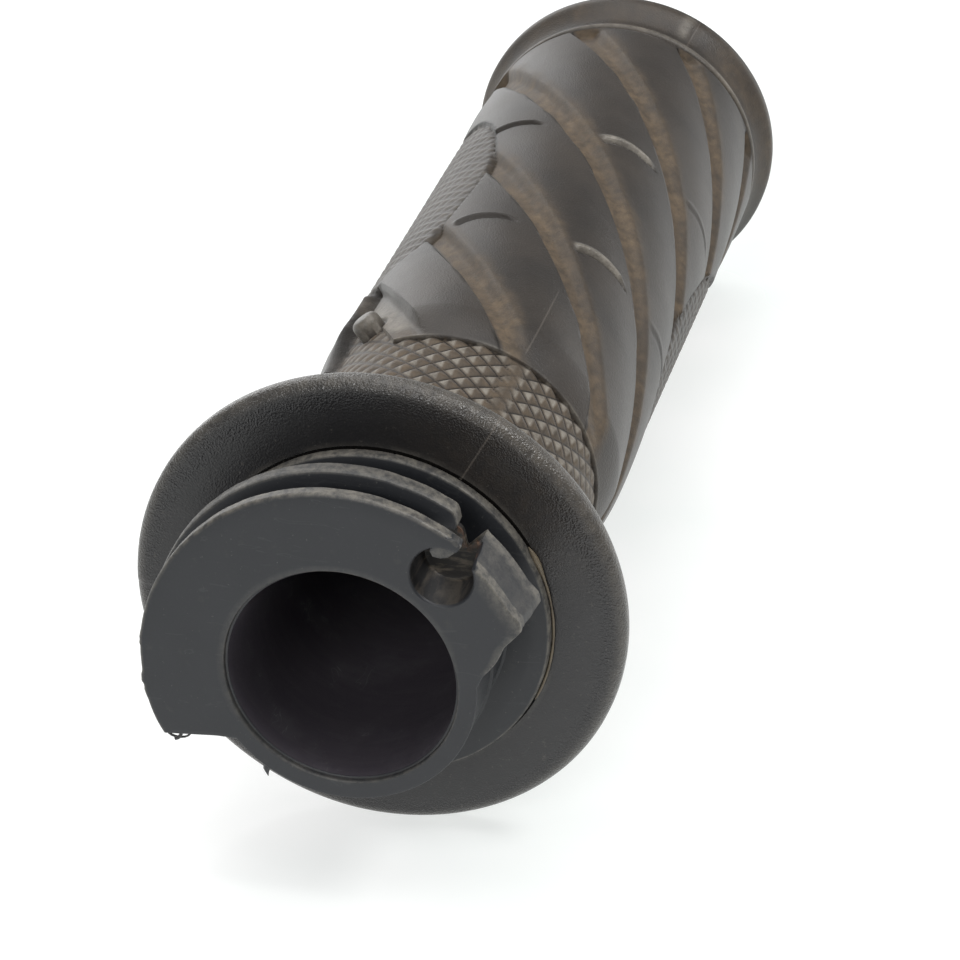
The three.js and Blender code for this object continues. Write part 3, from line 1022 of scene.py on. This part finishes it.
def plastic_material():
    n = Nodes("scuffed_plastic_painted_light")
    wear, inner = n.attribute("wear"), n.attribute("inner")
    clouds = n.noise(140, 4)
    fine = n.noise(4200, 3, 0.7)
    scratches = n.noise(260, 2, 0.5, (1.0, 0.5, 2.6), 1.2)
    scratches = n.curve(scratches, (0.655, 0), (0.665, 1), (0.68, 1), (0.69, 0))
    specks = n.curve(n.noise(2300, 3, 0.7), (0.66, 0), (0.74, 1))
    blotches = n.curve(n.noise(620, 3, 0.6), (0.62, 0), (0.72, 1))

    base = n.blend(n.times(blotches, 0.35), n.blend(clouds, *PLASTIC), BLOTCH)
    base = n.blend(inner, base, bore_colour(n))
    # pale marks: wear, and painted light on the cheek's top and the disc's rim
    pale_mask = n.times(wear, n.curve(n.noise(1100, 5, 0.75), (0.38, 0.2), (0.62, 1)))
    colour = n.blend(pale_mask, base, RUBBED_AND_LIT_PLASTIC)
    colour = n.blend(n.times(scratches, 0.08), colour, SCRATCH)
    colour = n.blend(n.times(specks, 0.5), colour, SPECK)

    # the nipple seat has light horizontal streaks inside, and is rusty towards the slot
    inside = n.times(n.beyond(0.1, 0.2), n.inverse(n.beyond(5.9, 6.0)))
    in_seat = n.near_line(SEAT_ANGLE, SEAT_PITCH_R, SEAT_R - 0.1, SEAT_R + 0.1)
    seat_streaks = n.curve(n.noise(330, 4, 0.65, (0.6, 1.0, 4.5)), (0.5, 0), (0.66, 1))
    colour = n.blend(n.times(in_seat, inside), colour, n.blend(seat_streaks, *SEAT_STREAK_TONES))
    outer = n.times(inside, n.inverse(n.beyond(4.6, 5.4)))
    rusty = n.times(n.near_line(128.5, 18.0, 1.0, 1.9), outer)
    rust = n.blend(n.curve(n.noise(800, 4, 0.6), (0.48, 0), (0.6, 1)), *RUST)
    colour = n.blend(n.times(rusty, 0.85), colour, rust)

    normal = n.bump(clouds, 0.2, 0.1, n.bump(fine, 0.15, 0.02))
    return n.finish(colour, n.span(fine, 0.36, 0.61), normal)


def adhesive_material():
    n = Nodes("cured_adhesive")
    colour = n.blend(n.noise(700, 4), *ADHESIVE)
    roughness = n.curve(n.noise(1500, 3), (0.3, 0.35), (0.7, 0.6))
    normal = n.bump(n.noise(2200, 3), 0.4, 0.05)
    return n.finish(colour, roughness, normal)


def floor_material():
    """White glass, lit a little from below so that shadows on it stay faint."""
    n = Nodes("pale_floor")
    smudges = n.curve(n.noise(11, 4, 0.6), (0.42, 0), (0.75, 1))
    streaks = n.curve(n.noise(16, 2, 0.5, (0.25, 5.0, 1.0), 0.3), (0.66, 0), (0.68, 1))
    glow = n.blend(n.times(streaks, 0.25), n.blend(smudges, *FLOOR_GLOW), FLOOR_STREAK)
    n.link(n.blend(smudges, *FLOOR_GREY), n.shader.inputs["Base Color"])
    n.link(glow, n.shader.inputs["Emission Color"])
    n.shader.inputs["Emission Strength"].default_value = 0.7
    roughness = n.curve(n.noise(14, 4), (0.3, 0.18), (0.7, 0.3))
    n.link(roughness, n.shader.inputs["Roughness"])
    return n.material


# ---------------------------------------------------------------- putting it together

def finish_piece(obj, node, material):
    obj.data.materials.clear()
    obj.data.materials.append(material)
    obj.data.polygons.foreach_set("material_index", [0] * len(obj.data.polygons))
    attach(obj, "root")
    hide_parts(node)


finish_piece(throttle_tube(), "throttle_tube", plastic_material())
finish_piece(grip_rubber(), "grip_rubber", rubber_material())
finish_piece(adhesive_bead(), "adhesive_bead", adhesive_material())


def stage():
    """The grip lies on its flange and its bead, so the floor leans a little against the bore."""
    flange_x, bead_x = 14.8, 136.0  # where they touch it
    lean = math.atan2(FLANGE_R - BEAD_R, bead_x - flange_x)
    bpy.ops.mesh.primitive_plane_add(size=12)
    floor = bpy.context.object
    floor.name = "floor"
    touch = Vector((flange_x, 0, -FLANGE_R - 0.1)) * MM  # clear of the rim by a hair
    floor.matrix_world = Matrix.Translation(touch) @ Matrix.Rotation(-lean, 4, "Y")
    floor.data.materials.append(floor_material())


def area_light(name, place, target, size, power):
    """A round lamp; place, target and size are in metres, power in watts."""
    data = bpy.data.lights.new(name, "AREA")
    data.shape, data.size, data.energy = "DISK", size, power
    lamp = bpy.data.objects.new(name, data)
    lamp.location = place
    lamp.rotation_euler = (Vector(target) - Vector(place)).to_track_quat("-Z", "Y").to_euler()
    bpy.context.scene.collection.objects.link(lamp)


def lights():
    centre = (0.06, 0, 0)
    area_light("overhead", (0.1, 0.1, 1.3), centre, 1.5, 13.3)
    area_light("left_panel", (0.9, 0.75, 0.16), centre, 0.6, 0.8)
    area_light("left_wall", (1.0, 0.7, 0.5), centre, 0.9, 3.8)
    area_light("right_wall", (0.8, -0.8, 0.4), centre, 0.7, 1.6)
    area_light("top_right", (0, -0.6, 0.9), centre, 0.3, 4.6)
    area_light("front", (-0.8, 0.1, 0.5), centre, 0.4, 3.3)
    world = bpy.data.worlds.new("studio")
    world.use_nodes = True
    sky = world.node_tree.nodes["Background"]
    sky.inputs["Color"].default_value = (0.95, 0.98, 1.0, 1)
    sky.inputs["Strength"].default_value = 0.18
    bpy.context.scene.world = world


def camera():
    """Looks down on the pulley from the inboard end, 28 degrees above the bore's plane."""
    data = bpy.data.cameras.new("camera")
    data.sensor_width = 36
    data.lens = 131.8
    data.clip_start, data.clip_end = 0.01, 20
    cam = bpy.data.objects.new("camera", data)
    forward = Vector((0.8581, 0.2065, -0.4701)).normalized()
    right = Vector((0.2340, -0.9722, 0.0)).normalized()
    up = right.cross(forward)
    turn = Matrix((right, up, -forward)).transposed().to_4x4()
    cam.matrix_world = Matrix.Translation(Vector((-274.07, -79.65, 173.18)) * MM) @ turn
    bpy.context.scene.collection.objects.link(cam)
    bpy.context.scene.camera = cam


stage()
lights()
camera()
bpy.context.scene.view_settings.view_transform = "Standard"

bpy.context.view_layer.update()
